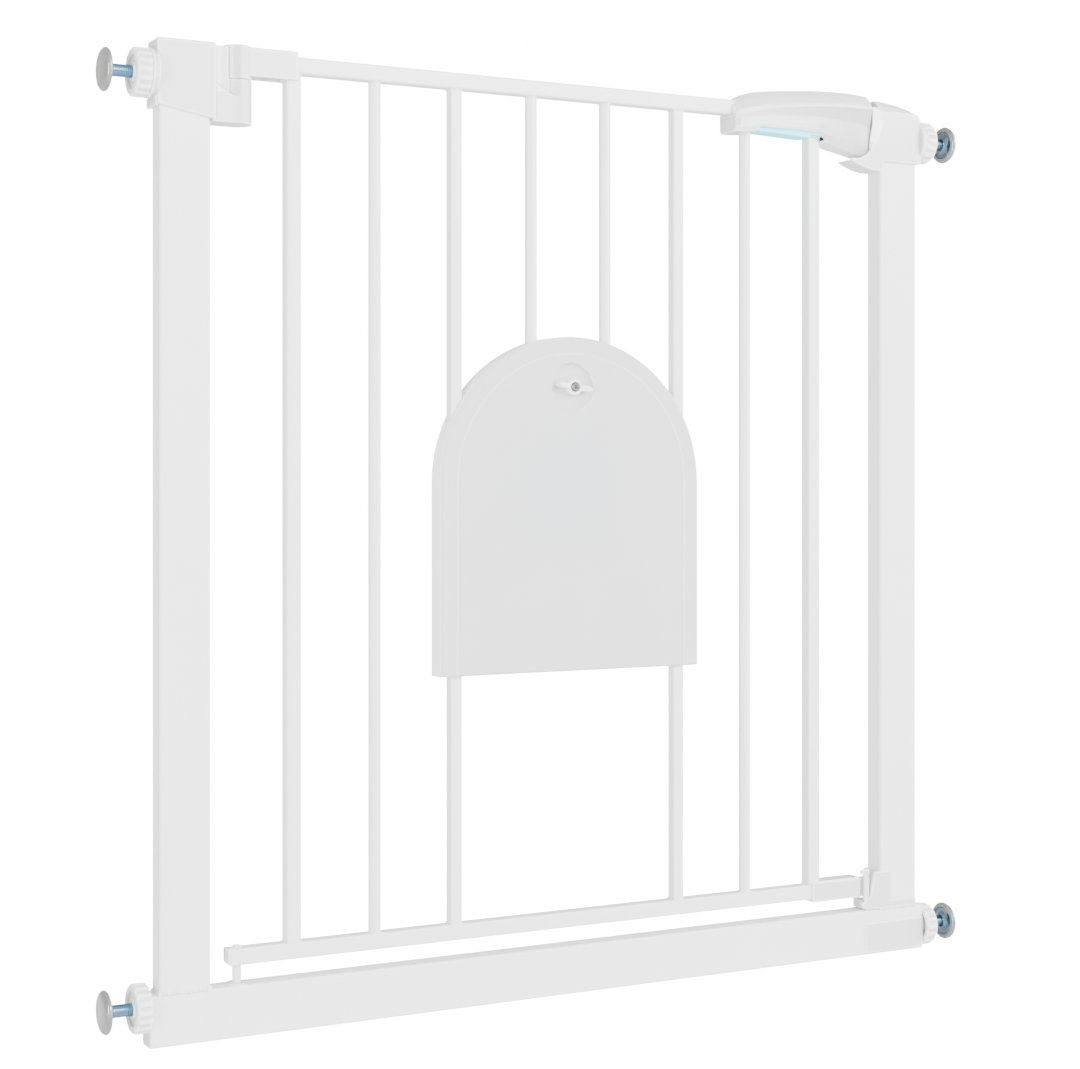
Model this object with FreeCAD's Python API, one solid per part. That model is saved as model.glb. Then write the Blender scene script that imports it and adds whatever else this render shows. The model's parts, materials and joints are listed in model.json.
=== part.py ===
"""Pressure-mounted pet gate with a swinging barred door and a small sliding pet panel.

Millimetres. Origin on the floor under the middle of the gate. +X runs along the gate towards the
latch, +Y runs through it, +Z is up. The hinge is on the -X side.
"""
import FreeCAD
import Part
import math
import os

V = FreeCAD.Vector

# ---------------------------------------------------------------- driving dimensions
# Fixed frame: one U welded from a single rectangular steel tube
POST_OUT = 354.0          # outer side of each post, from the middle
TUBE_W = 40.0             # wide side of the frame tube
TUBE_D = 20.0             # narrow side of the frame tube, along Y
TUBE_WALL = 1.2
TUBE_R = 2.2              # outer corner radius of the frame tube
RAIL_HALF = 360.0         # half length of the bottom rail
POST_TOP = 754.0

# Door
HINGE_X = -290.0          # vertical hinge axis
DOOR_TUBE = 13.0          # square tube of both door rails
DOOR_WALL = 1.2
TOP_RAIL_Z = 742.0        # underside of the top rail
LOW_RAIL_Z = 54.5         # underside of the low rail
BAR_PITCH = 70.0
BAR_COUNT = 8
ROUND_BAR_R = 5.0
SQUARE_BAR = 10.0         # the two bars that guide the pet panel
END_BAR = 12.0            # the first and the last bar

# Hinge
KNUCKLE_R = 11.5
KNUCKLE_LOW_Z = 699.0
KNUCKLE_SPLIT_Z = 733.0
KNUCKLE_TOP_Z = 759.5
PIN_R = 4.0
LOWER_PIN_R = 3.5
RUN_CLEAR = 0.08          # radial running clearance of pins, screws and nuts

# Clamping spindles
SPINDLE_TOP_Z = 733.0
SPINDLE_LOW_LEFT_Z = 29.5
SPINDLE_LOW_RIGHT_Z = 20.0
ROD_R = 5.0
ROD_IN = 334.0            # inner end of each rod, from the middle
WHEEL_IN = 361.5
WHEEL_OUT = 373.0
WHEEL_R = 19.0
WHEEL_LOBES = 16
PAD_R = 16.6
PAD_IN = 391.0
PAD_OUT = 397.5

# Pet panel
PANEL_HALF = 121.3
PANEL_LOW_Z = 267.5
PANEL_TOP_Z = 544.7
PANEL_DEPTH = 10.0        # each half reaches this far from the bars' plane
PANEL_RIM = 5.0
PANEL_FACE_IN = 5.6       # inside face of each half
CROSS_BAR_Z = 271.6       # underside of the bar that carries the two short bars
CROSS_BAR_H = 8.0
SCREW_Z = 503.0
DISH_R = 20.5

# Squeeze button in the handle
BUTTON_LEFT = 181.3
BUTTON_RIGHT = 238.2
BUTTON_TOP = 736.6
BUTTON_TRAVEL = 4.5
BUTTON_HALF = 10.6        # half of its width along Y
SPRING_X = 214.0          # middle of the return spring
SPRING_SEAT = 731.0


# ---------------------------------------------------------------- helpers
def box(x0, x1, y0, y1, z0, z1):
    return Part.makeBox(x1 - x0, y1 - y0, z1 - z0, V(x0, y0, z0))


def round_box(x0, x1, y0, y1, z0, z1, radius, axis):
    """Box whose four edges along one axis are rounded."""
    solid = box(x0, x1, y0, y1, z0, z1)
    picked = []
    for edge in solid.Edges:
        direction = edge.Vertexes[1].Point - edge.Vertexes[0].Point
        along = {"x": abs(direction.x), "y": abs(direction.y), "z": abs(direction.z)}[axis]
        if along > 0.999 * edge.Length:
            picked.append(edge)
    return solid.makeFillet(radius, picked)


def cyl(x, y, z, direction, radius, length):
    return Part.makeCylinder(radius, length, V(x, y, z), V(*direction))


def prism_xz(points, y0, y1):
    """Polygon given as (x, z) pairs, extruded from y0 to y1."""
    corners = [V(x, y0, z) for x, z in points]
    wire = Part.makePolygon(corners + [corners[0]])
    return Part.Face(wire).extrude(V(0, y1 - y0, 0))


def fuse(*shapes):
    result = shapes[0]
    for shape in shapes[1:]:
        result = result.fuse(shape)
    return result.removeSplitter()


def mirror_y(shape):
    return shape.mirror(V(0, 0, 0), V(0, 1, 0))


def fillet_near(shape, radius, test):
    """Round every edge whose middle point passes the test."""
    picked = [edge for edge in shape.Edges if test(edge.CenterOfMass, edge)]
    return shape.makeFillet(radius, picked)


def save(name, shape):
    solids = shape.Solids
    for solid in solids:
        if not solid.isValid():
            raise ValueError(name + " is not valid")
    result = solids[0] if len(solids) == 1 else Part.makeCompound(solids)
    result.exportStep(os.path.join("parts", name + ".step"))
    print("%-22s %2d solid(s) %10.1f mm3" % (name, len(solids), result.Volume))


# ---------------------------------------------------------------- fixed frame
def frame_tube_z(x0, x1, z0, z1):
    half = TUBE_D / 2
    outer = round_box(x0, x1, -half, half, z0, z1, TUBE_R, "z")
    inner = round_box(x0 + TUBE_WALL, x1 - TUBE_WALL, -half + TUBE_WALL, half - TUBE_WALL,
                      z0 - 1, z1 + 1, TUBE_R - TUBE_WALL, "z")
    return outer.cut(inner)


def make_bottom_rail():
    half = TUBE_D / 2
    outer = round_box(-RAIL_HALF, RAIL_HALF, -half, half, 0, TUBE_W, TUBE_R, "x")
    inner = round_box(-RAIL_HALF - 1, RAIL_HALF + 1, -half + TUBE_WALL, half - TUBE_WALL,
                      TUBE_WALL, TUBE_W - TUBE_WALL, TUBE_R - TUBE_WALL, "x")
    rail = outer.cut(inner)
    # hole for the lower hinge bush
    return rail.cut(cyl(HINGE_X, 0, 30, (0, 0, 1), 6.1, 20))


def make_left_post():
    post = frame_tube_z(-POST_OUT, -POST_OUT + TUBE_W, TUBE_W, POST_TOP)
    post = post.cut(cyl(-POST_OUT - 1, 0, SPINDLE_TOP_Z, (1, 0, 0), 5.6, 5))
    return post.cut(screw_holes(-1, 1.5))


def make_right_post():
    post = frame_tube_z(POST_OUT - TUBE_W, POST_OUT, TUBE_W, POST_TOP)
    post = post.cut(cyl(POST_OUT + 1, 0, SPINDLE_TOP_Z, (-1, 0, 0), 5.6, 5))
    return post.cut(screw_holes(1, 1.5))


def housing_screw_points(side):
    return [(side * 334.0, 719.0), (side * 334.0, 746.0)]


def screw_holes(side, radius):
    """Pilot holes in the back wall of a post, or clearance holes in a housing."""
    holes = [cyl(x, 5, z, (0, 1, 0), radius, 12) for x, z in housing_screw_points(side)]
    return Part.makeCompound(holes)


def make_housing_screws():
    screws = []
    for side in (-1, 1):
        for x, z in housing_screw_points(side):
            head = Part.makeSphere(5.0, V(x, 9.6, z))
            head = head.common(cyl(x, 13.0, z, (0, 1, 0), 3.6, 3))
            shank = cyl(x, 6.5, z, (0, 1, 0), 1.45, 6.6)
            slot = fuse(box(x - 2.2, x + 2.2, 13.7, 16, z - 0.45, z + 0.45),
                        box(x - 0.45, x + 0.45, 13.7, 16, z - 2.2, z + 2.2))
            screws.append(fuse(head, shank).cut(slot))
    return Part.makeCompound(screws)


def make_left_rail_cap():
    """Plastic plug that closes the rail's hinge end and guides the spindle."""
    half = TUBE_D / 2
    face = round_box(-RAIL_HALF - 1.2, -RAIL_HALF, -half, half, 0, TUBE_W, TUBE_R, "x")
    gap = TUBE_WALL + 0.1
    plug = round_box(-RAIL_HALF, -RAIL_HALF + 14, -half + gap, half - gap, gap, TUBE_W - gap, 1.0, "x")
    hollow = box(-RAIL_HALF + 2, -RAIL_HALF + 15, -half + gap + 1.6, half - gap - 1.6,
                 gap + 1.6, TUBE_W - gap - 1.6)
    guide = cyl(-RAIL_HALF + 1, 0, SPINDLE_LOW_LEFT_Z, (1, 0, 0), 7.0, 13)
    guide = guide.common(box(-400, 0, -half + gap, half - gap, 0, TUBE_W))
    cap = fuse(face, plug.cut(hollow), guide)
    return cap.cut(cyl(-RAIL_HALF - 3, 0, SPINDLE_LOW_LEFT_Z, (1, 0, 0), 5.4, 20))


def make_rail_end_cover():
    """Plastic cover round the latch end of the rail, with a cheek on the front and on the back."""
    half = TUBE_D / 2
    face = round_box(RAIL_HALF, RAIL_HALF + 1.2, -half, half, 0, TUBE_W, TUBE_R, "x")
    gap = TUBE_WALL + 0.1
    plug = round_box(RAIL_HALF - 14, RAIL_HALF, -half + gap, half - gap, gap, TUBE_W - gap, 1.0, "x")
    hollow = box(RAIL_HALF - 15, RAIL_HALF - 2, -half + gap + 1.6, half - gap - 1.6,
                 gap + 1.6, TUBE_W - gap - 1.6)
    guide = cyl(RAIL_HALF - 1, 0, SPINDLE_LOW_RIGHT_Z, (-1, 0, 0), 7.0, 13)
    guide = guide.common(box(0, 400, -half + gap, half - gap, 0, TUBE_W))
    cheek = box(297.5, RAIL_HALF + 1.2, -half - 1.2, -half, 2.3, 29.0)
    cheek = fillet_near(cheek, 0.9, lambda c, e: c.y < -half - 1.1 and (c.z > 28.9 or c.x < 297.6))
    tie = box(RAIL_HALF, RAIL_HALF + 1.2, -half - 1.2, -half + 4, 2.3, 29.0)
    cheek = fuse(cheek, tie)
    cover = fuse(face, plug.cut(hollow), guide, cheek, mirror_y(cheek))
    return cover.cut(cyl(RAIL_HALF + 3, 0, SPINDLE_LOW_RIGHT_Z, (-1, 0, 0), 5.4, 20))


def make_lower_hinge_bush():
    body = cyl(HINGE_X, 0, 14.0, (0, 0, 1), 6.0, 26.0)
    flange = cyl(HINGE_X, 0, TUBE_W, (0, 0, 1), 7.4, 0.9)
    bush = fuse(body, flange)
    return bush.cut(cyl(HINGE_X, 0, 17.0, (0, 0, 1), LOWER_PIN_R + RUN_CLEAR, 30))


def make_hinge_housing():
    """Cap over the hinge post with the wheel seat on its outer side and the lower knuckle inside."""
    left = -POST_OUT - 2.5
    right = -POST_OUT + TUBE_W + 3.5
    main = prism_xz([(left, 709.0), (right, 700.4), (right, 759.0), (left, 759.0)], -13.0, 13.0)
    main = fillet_near(main, 2.0, lambda c, e: abs(c.z - 759.0) < 0.1 and abs(c.y) > 12)
    main = fillet_near(main, 1.5, lambda c, e: abs(c.y) > 12.9 and 715 < c.z < 750)
    main = fillet_near(main, 0.8, lambda c, e: abs(c.y) > 12.9 and c.z < 712)
    web = prism_xz([(right - 2, 699.0), (HINGE_X, 699.0), (HINGE_X, 719.0), (-299.0, 721.0),
                    (right, 728.4), (right - 2, 728.4)], -KNUCKLE_R, KNUCKLE_R)
    knuckle = cyl(HINGE_X, 0, KNUCKLE_LOW_Z, (0, 0, 1), KNUCKLE_R, KNUCKLE_SPLIT_Z - KNUCKLE_LOW_Z)
    # hollow cheek that hides the gap beside the door's knuckle
    cradle = box(right - 1, -298.5, -8.5, 6.0, 716.0, 757.4)
    cradle = cradle.cut(cyl(HINGE_X, 0, KNUCKLE_SPLIT_Z, (0, 0, 1), KNUCKLE_R + 0.9, 40))
    seat = cyl(left + 1, 0, SPINDLE_TOP_Z, (-1, 0, 0), 19.0, 5.6)
    seat = seat.common(box(-370, -340, -18.6, 18.6, 705, 758.0))
    lip = box(left - 1.3, left + 1, -11.5, 12.0, 707.5, 715.0)
    housing = fuse(main, web, knuckle, cradle, seat, lip)
    housing = housing.cut(round_box(-POST_OUT - 0.1, -POST_OUT + TUBE_W + 0.1, -10.1, 10.1,
                                    690, POST_TOP + 0.4, TUBE_R, "z"))
    housing = housing.cut(cyl(-380, 0, SPINDLE_TOP_Z, (1, 0, 0), 5.4, 40))
    housing = housing.cut(cyl(HINGE_X, 0, 690, (0, 0, 1), PIN_R + RUN_CLEAR, 60))
    housing = housing.cut(cyl(HINGE_X, 0, 690, (0, 0, 1), 9.3, 11.4))
    return housing.cut(screw_holes(-1, 1.8))


def make_latch_housing():
    """Cap over the latch post: a roof that falls to the right and an open keeper on the left."""
    roof = [(304.5, 767.6, 755.6), (319.0, 767.0, 756.0), (336.0, 764.8, 756.3), (347.0, 761.8, 756.2),
            (354.0, 758.0, 755.4), (357.5, 752.5, 751.0)]
    wires = []
    for x, zc, zr in roof:
        rise = zc - zr
        ring = [(-13.0, 711.5), (-13.0, zr), (-10.5, zr + 0.42 * rise), (-6.5, zr + 0.82 * rise), (-2.0, zc),
                (2.0, zc), (6.5, zr + 0.82 * rise), (10.5, zr + 0.42 * rise), (13.0, zr), (13.0, 711.5)]
        corners = [V(x, y, z) for y, z in ring]
        wires.append(Part.makePolygon(corners + [corners[0]]))
    body = Part.makeLoft(wires, True, True)
    # keeper: only a front wall and a floor reach past the post towards the door
    body = body.cut(box(290, 312.0, -10.6, 20, 700, 775))
    wall = prism_xz([(306.0, 757.0), (305.2, 748.0), (303.0, 738.0), (301.4, 730.0), (300.9, 720.5),
                     (297.5, 716.9), (290.0, 713.0), (280.5, 712.4), (280.0, 711.0), (284.0, 708.6),
                     (290.0, 706.4), (297.0, 704.0), (306.0, 702.6), (316.0, 702.6), (316.0, 757.0)],
                    -13.0, -10.6)
    floor = prism_xz([(280.5, 711.4), (284.0, 709.4), (290.0, 707.0), (297.0, 704.6), (306.0, 702.8),
                      (313.9, 702.6), (313.9, 711.4)], -11.0, 11.0)
    groove = box(292.5, 299.7, -9.0, 14.0, 708.4, 715.0)
    inner_side = box(312.0, 314.0, -13.0, 13.0, 703.2, 757.0)
    seat = cyl(356.5, 0, SPINDLE_TOP_Z, (1, 0, 0), 19.0, 4.6)
    seat = seat.common(box(340, 370, -18.6, 18.6, 705, 758.0))
    housing = fuse(body, wall, floor.cut(groove), inner_side, seat)
    housing = housing.cut(crescent_bevel())
    housing = housing.cut(round_box(POST_OUT - TUBE_W - 0.1, POST_OUT + 0.1, -10.1, 10.1,
                                    690, POST_TOP + 0.4, TUBE_R, "z"))
    housing = housing.cut(cyl(380, 0, SPINDLE_TOP_Z, (-1, 0, 0), 5.4, 40))
    return housing.cut(screw_holes(1, 1.8))


def crescent_bevel():
    """What the crescent-shaped bevel takes off the front wall beside the handle."""
    front = [(309.0, 768.0), (314.6, 757.5), (316.3, 747.7), (313.7, 738.1), (310.7, 732.2), (304.6, 726.8),
             (302.2, 721.6), (301.2, 719.0)]
    back = [(304.0, 768.0), (305.2, 757.5), (305.0, 748.0), (302.8, 738.0), (301.6, 732.2), (301.1, 726.8),
            (300.9, 721.6), (300.8, 719.0)]
    wires = []
    for edge, y in ((front, -13.05), (back, -11.4)):
        corners = [V(x, y, z) for x, z in edge + [(290.0, 719.0), (290.0, 768.0)]]
        wires.append(Part.makePolygon(corners + [corners[0]]))
    return Part.makeLoft(wires, True, True)


def make_bottom_catch():
    """Pocket on the foot of the latch post. The door's tongue drops behind its front wall."""
    front = prism_xz([(293.4, 44.4), (296.0, 41.6), (314.0, 40.6), (314.0, 74.0), (307.2, 74.0),
                      (302.2, 52.0), (300.8, 52.0), (300.4, 74.0), (296.2, 74.0), (296.2, 48.0),
                      (293.4, 47.4)], -11.2, -7.4)
    front = fillet_near(front, 0.7, lambda c, e: c.y < -11.1 and c.x < 307.0)
    lip = round_box(291.8, 301.4, -11.4, -8.9, 72.4, 77.2, 2.2, "y")
    floor = box(297.6, 313.9, -11.0, 9.0, 40.6, 48.0)
    post_side = prism_xz([(311.4, 41.0), (313.9, 41.0), (313.9, 74.0), (312.4, 74.0), (309.6, 52.0),
                          (309.6, 41.0)], -11.0, 9.8)
    # cheeks and a foot band that hold the post between them
    cheek = box(311.4, 326.0, -11.2, -10.0, 44.5, 74.0)
    cheek = fillet_near(cheek, 0.8, lambda c, e: c.y < -11.1 and (c.z > 73.9 or c.x > 325.9))
    band = box(313.0, 353.0, -11.2, -10.0, 40.6, 47.4)
    band = fillet_near(band, 0.8, lambda c, e: c.y < -11.1 and (c.z > 47.3 or c.x > 352.9))
    corner = box(311.4, 314.2, -11.2, -9.0, 44.5, 74.0)
    catch = fuse(front, lip, floor, post_side, cheek, band, corner, mirror_y(fuse(cheek, band, corner)))
    return catch.cut(round_box(POST_OUT - TUBE_W - 0.05, POST_OUT, -10.0, 10.0, 30, 90, TUBE_R, "z"))


def make_wheel(side, z):
    """Lobed hand nut that runs on the spindle."""
    thick = WHEEL_OUT - WHEEL_IN
    wheel = Part.makeCylinder(WHEEL_R, thick, V(0, 0, 0), V(0, 0, 1))
    wheel = wheel.makeChamfer(1.6, [e for e in wheel.Edges if e.CenterOfMass.z > thick - 0.1 and e.Length > 50])
    for index in range(WHEEL_LOBES):
        angle = 2 * math.pi * (index + 0.5) / WHEEL_LOBES
        radius = WHEEL_R + 1.6
        wheel = wheel.cut(Part.makeCylinder(3.0, thick + 2, V(radius * math.cos(angle), radius * math.sin(angle), -1)))
    dish = Part.makeCylinder(13.0, 2.0, V(0, 0, thick - 1.8)).cut(Part.makeCylinder(7.5, 3, V(0, 0, thick - 2)))
    back = Part.makeCylinder(14.5, 5.0, V(0, 0, -1)).cut(Part.makeCylinder(8.5, 8, V(0, 0, -2)))
    wheel = wheel.cut(dish).cut(back)
    wheel = wheel.cut(Part.makeCylinder(ROD_R + RUN_CLEAR, 30, V(0, 0, -5)))
    wheel.rotate(V(0, 0, 0), V(0, 1, 0), 90 * side)
    wheel.translate(V(side * WHEEL_IN, 0, z))
    return wheel


def make_rod(side, z):
    rod = Part.makeCylinder(ROD_R, PAD_IN + 1.0 - ROD_IN, V(0, 0, ROD_IN))
    rod = rod.makeChamfer(0.8, [e for e in rod.Edges if e.CenterOfMass.z < ROD_IN + 0.1 and e.Length > 20])
    foot = Part.makeCylinder(10.5, 1.8, V(0, 0, PAD_IN + 0.3))
    rod = fuse(rod, foot)
    rod.rotate(V(0, 0, 0), V(0, 1, 0), 90 * side)
    rod.translate(V(0, 0, z))
    return rod


def make_pad(side, z):
    pad = Part.makeCylinder(PAD_R, PAD_OUT - PAD_IN, V(0, 0, PAD_IN))
    pad = pad.makeFillet(2.6, [e for e in pad.Edges if e.CenterOfMass.z > PAD_OUT - 0.1 and e.Length > 50])
    pad = pad.makeFillet(1.4, [e for e in pad.Edges if e.CenterOfMass.z < PAD_IN + 0.1 and e.Length > 50])
    pad = pad.cut(Part.makeCylinder(12.4, 2.2, V(0, 0, PAD_IN - 0.001)))
    pad.rotate(V(0, 0, 0), V(0, 1, 0), 90 * side)
    pad.translate(V(0, 0, z))
    return pad


# ---------------------------------------------------------------- hinge
def make_upper_hinge_pin():
    """Pin with a turned flange that shows under the lower knuckle."""
    shank = cyl(HINGE_X, 0, KNUCKLE_LOW_Z + 0.5, (0, 0, 1), PIN_R, 54.0)
    flange = cyl(HINGE_X, 0, KNUCKLE_LOW_Z + 0.3, (0, 0, 1), 9.0, 1.8)
    hollow = cyl(HINGE_X, 0, KNUCKLE_LOW_Z, (0, 0, 1), 6.2, 1.1)
    centre = cyl(HINGE_X, 0, KNUCKLE_LOW_Z + 0.6, (0, 0, 1), 3.4, 1.0)
    return fuse(fuse(shank, flange).cut(hollow), centre)


def make_hinge_arm():
    """Upper knuckle of the door in one piece with the sleeve on the top rail's end."""
    low = KNUCKLE_SPLIT_Z + 0.4
    knuckle = cyl(HINGE_X, 0, low, (0, 0, 1), KNUCKLE_R, KNUCKLE_TOP_Z - low)
    knuckle = knuckle.makeFillet(1.2, [e for e in knuckle.Edges if e.CenterOfMass.z > KNUCKLE_TOP_Z - 0.1])
    sleeve = round_box(-281.0, -242.0, -9.4, 9.4, 736.2, 758.6, 2.4, "z")
    sleeve = fillet_near(sleeve, 1.2, lambda c, e: c.z > 758.5)
    web = box(HINGE_X, -276.0, -9.4, 9.4, 736.2, 757.6)
    arm = fuse(knuckle, sleeve, web)
    half = DOOR_TUBE / 2 + 0.1
    arm = arm.cut(box(-275.2, -240, -half, half, TOP_RAIL_Z - 0.1, TOP_RAIL_Z + DOOR_TUBE + 0.1))
    arm = arm.cut(box(-272.0, -253.0, -5.4, 5.4, 735, TOP_RAIL_Z + 1))
    edge = END_BAR / 2 + 0.15
    arm = arm.cut(box(bar_x(1) - edge, bar_x(1) + edge, -edge, edge, 730, TOP_RAIL_Z + 1))
    return arm.cut(cyl(HINGE_X, 0, 730, (0, 0, 1), PIN_R + RUN_CLEAR, 24.5))


def make_lower_hinge_pin():
    """Headed pin through the low rail. It turns and slides in the rail's bush."""
    top = LOW_RAIL_Z + DOOR_TUBE
    shank = cyl(HINGE_X, 0, 20.0, (0, 0, 1), LOWER_PIN_R, top - 20.0 + 0.4)
    head = Part.makeSphere(5.0, V(HINGE_X, 0, top - 2.6)).common(box(-310, -270, -10, 10, top, top + 5))
    return fuse(shank, head)


# ---------------------------------------------------------------- door
def door_rail(x0, x1, z0):
    half = DOOR_TUBE / 2
    outer = round_box(x0, x1, -half, half, z0, z0 + DOOR_TUBE, 1.6, "x")
    inner = round_box(x0 - 1, x1 + 1, -half + DOOR_WALL, half - DOOR_WALL, z0 + DOOR_WALL,
                      z0 + DOOR_TUBE - DOOR_WALL, 0.5, "x")
    return outer.cut(inner)


def make_top_rail():
    return door_rail(-275.0, 296.5, TOP_RAIL_Z)


def make_low_rail():
    rail = door_rail(-296.2, 289.5, LOW_RAIL_Z)
    return rail.cut(cyl(HINGE_X, 0, 50, (0, 0, 1), LOWER_PIN_R + 0.05, 22))


def bar_x(index):
    """Middle of bar 1 to 8, counted from the hinge."""
    return (index - (BAR_COUNT + 1) / 2) * BAR_PITCH


def make_bar(index):
    x = bar_x(index)
    low = LOW_RAIL_Z + DOOR_TUBE
    high = TOP_RAIL_Z
    if index in (4, 5):
        low = CROSS_BAR_Z + CROSS_BAR_H
    if index in (1, BAR_COUNT):
        half = END_BAR / 2
        outer = round_box(x - half, x + half, -half, half, low, high, 1.4, "z")
        return outer.cut(round_box(x - half + 1, x + half - 1, -half + 1, half - 1, low - 1, high + 1, 0.4, "z"))
    if index in (3, 6):
        half = SQUARE_BAR / 2
        outer = round_box(x - half, x + half, -half, half, low, high, 1.2, "z")
        return outer.cut(round_box(x - half + 1, x + half - 1, -half + 1, half - 1, low - 1, high + 1, 0.2, "z"))
    tube = cyl(x, 0, low, (0, 0, 1), ROUND_BAR_R, high - low)
    return tube.cut(cyl(x, 0, low - 1, (0, 0, 1), ROUND_BAR_R - 1.0, high - low + 2))


def make_cross_bar():
    """Short bar behind the pet panel that carries the lower ends of the two short bars."""
    x = -bar_x(3) - SQUARE_BAR / 2
    return round_box(-x, x, -4.5, 4.5, CROSS_BAR_Z, CROSS_BAR_Z + CROSS_BAR_H, 0.8, "x")


def make_low_rail_plug():
    """Plastic plug in the hinge end of the low rail, with a chamfered lower corner."""
    half = DOOR_TUBE / 2
    high = LOW_RAIL_Z + DOOR_TUBE
    face = prism_xz([(-298.6, LOW_RAIL_Z + 2.0), (-296.2, LOW_RAIL_Z - 0.4), (-296.2, high), (-298.6, high)],
                    -half, half)
    inner = box(-296.2, -294.6, -half + 1.5, half - 1.5, LOW_RAIL_Z + 1.5, high - 1.5)
    return fuse(face, inner)


def make_low_rail_cap():
    """Plastic sleeve on the latch end of the low rail with the tongue for the bottom catch."""
    half = 8.4
    sleeve = round_box(241.6, 293.0, -half, half, 51.8, 70.4, 1.8, "x")
    sleeve = fillet_near(sleeve, 1.5, lambda c, e: c.x < 241.7 and (c.z < 52.2 or abs(c.y) > 8.2))
    pocket = box(240.0, 289.7, -DOOR_TUBE / 2 - 0.1, DOOR_TUBE / 2 + 0.1, LOW_RAIL_Z - 0.1, LOW_RAIL_Z + 13.1)
    slot = box(240.0, 251.3, -6.3, 6.3, 60.0, 80.0)
    tongue = round_box(292.0, 305.4, -6.6, 3.0, 52.2, 68.6, 1.2, "y")
    return fuse(sleeve.cut(pocket).cut(slot), tongue)


# ---------------------------------------------------------------- handle and latch
# Sections along the handle: x, crest z, ridge z, half width at the ridge, half width at the waist,
# z and half width of the lower lip, z of the underside
HANDLE_SECTIONS = [
    (158.0, 753.5, 742.0, 13.5, 13.3, 730.0, 13.4, 727.0),
    (162.0, 757.0, 743.6, 15.0, 14.6, 730.6, 14.8, 727.0),
    (170.0, 760.8, 745.6, 16.0, 15.2, 731.4, 15.4, 727.4),
    (178.0, 763.2, 747.2, 16.2, 15.0, 732.6, 15.3, 728.0),
    (184.0, 764.6, 748.2, 16.2, 14.8, 734.6, 15.2, 732.6),
    (200.0, 766.8, 750.6, 16.4, 14.4, 734.8, 15.0, 732.8),
    (228.0, 769.3, 754.0, 16.4, 13.4, 734.8, 14.8, 732.8),
    (246.0, 770.9, 755.6, 16.1, 12.7, 734.2, 14.0, 731.6),
    (254.0, 771.3, 756.2, 15.9, 12.2, 730.8, 13.2, 724.2),
    (271.0, 771.8, 757.2, 15.4, 11.2, 729.4, 12.0, 720.0),
    (284.0, 771.7, 757.4, 14.8, 10.2, 728.4, 10.2, 717.0),
    (296.0, 771.0, 757.2, 14.2, 9.5, 723.4, 9.6, 714.0),
    (303.2, 770.2, 757.0, 13.8, 9.2, 719.5, 9.3, 712.4),
]


def handle_cover_wires():
    wires = []
    for x, zc, zr, half, _, _, _, _ in HANDLE_SECTIONS:
        rise = zc - zr
        ring = [(-half, zr), (-half + 0.9, zr + 0.16 * rise), (-0.66 * half, zr + 0.60 * rise),
                (-0.34 * half, zr + 0.92 * rise), (0.0, zc), (0.34 * half, zr + 0.92 * rise),
                (0.66 * half, zr + 0.60 * rise), (half - 0.9, zr + 0.16 * rise), (half, zr)]
        corners = [V(x, y, z) for y, z in ring]
        wires.append(Part.makePolygon(corners + [corners[0]]))
    return wires


def handle_body_wires():
    wires = []
    for x, _, zr, half, waist, zl, lip, zf in HANDLE_SECTIONS:
        height = zr - zl
        side = [(half, zr), (0.45 * half + 0.55 * waist, zr - 0.16 * height), (waist, zr - 0.42 * height),
                (waist + 0.1, zr - 0.66 * height), (0.5 * (waist + lip), zr - 0.86 * height), (lip, zl),
                (lip - 1.6, zf)]
        ring = [(-y, z) for y, z in side] + [(y, z) for y, z in reversed(side)]
        corners = [V(x, y, z) for y, z in ring]
        wires.append(Part.makePolygon(corners + [corners[0]]))
    return wires


def handle_cutters():
    """Everything that has to pass through the handle: rail, bars, button, latch tongue."""
    half = DOOR_TUBE / 2 + 0.12
    rail = box(150, 297.0, -half, half, TOP_RAIL_Z - 0.1, TOP_RAIL_Z + DOOR_TUBE + 0.12)
    bar_7 = cyl(bar_x(7), 0, 700, (0, 0, 1), ROUND_BAR_R + 0.15, 50)
    edge = END_BAR / 2 + 0.15
    bar_8 = box(bar_x(8) - edge, bar_x(8) + edge, -edge, edge, 700, 745)
    wide = BUTTON_HALF + 0.4
    well = box(BUTTON_LEFT - 0.5, BUTTON_RIGHT + 0.6, -wide, wide, 700, BUTTON_TOP + BUTTON_TRAVEL + 0.9)
    side_well = box(236, 251.4, -wide, wide, 700, 740.6)
    link = box(247.0, 293.5, -4.0, 4.0, 726.4, 740.6)
    link_side = box(236.0, 256.6, -10.4, 10.4, 726.4, 740.6)
    tongue = box(292.8, 299.4, -4.0, 4.0, 700, 740.6)
    return Part.makeCompound([rail, bar_7, bar_8, well, side_well, link, link_side, tongue])


def make_handle_body():
    body = Part.makeLoft(handle_body_wires(), True, True)
    for cutter in handle_cutters().Solids:
        body = body.cut(cutter)
    return body


def make_handle_cover():
    cover = Part.makeLoft(handle_cover_wires(), True, True)
    half = DOOR_TUBE / 2 + 0.12
    return cover.cut(box(150, 297.0, -half, half, TOP_RAIL_Z - 0.1, TOP_RAIL_Z + DOOR_TUBE + 0.12))


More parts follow.
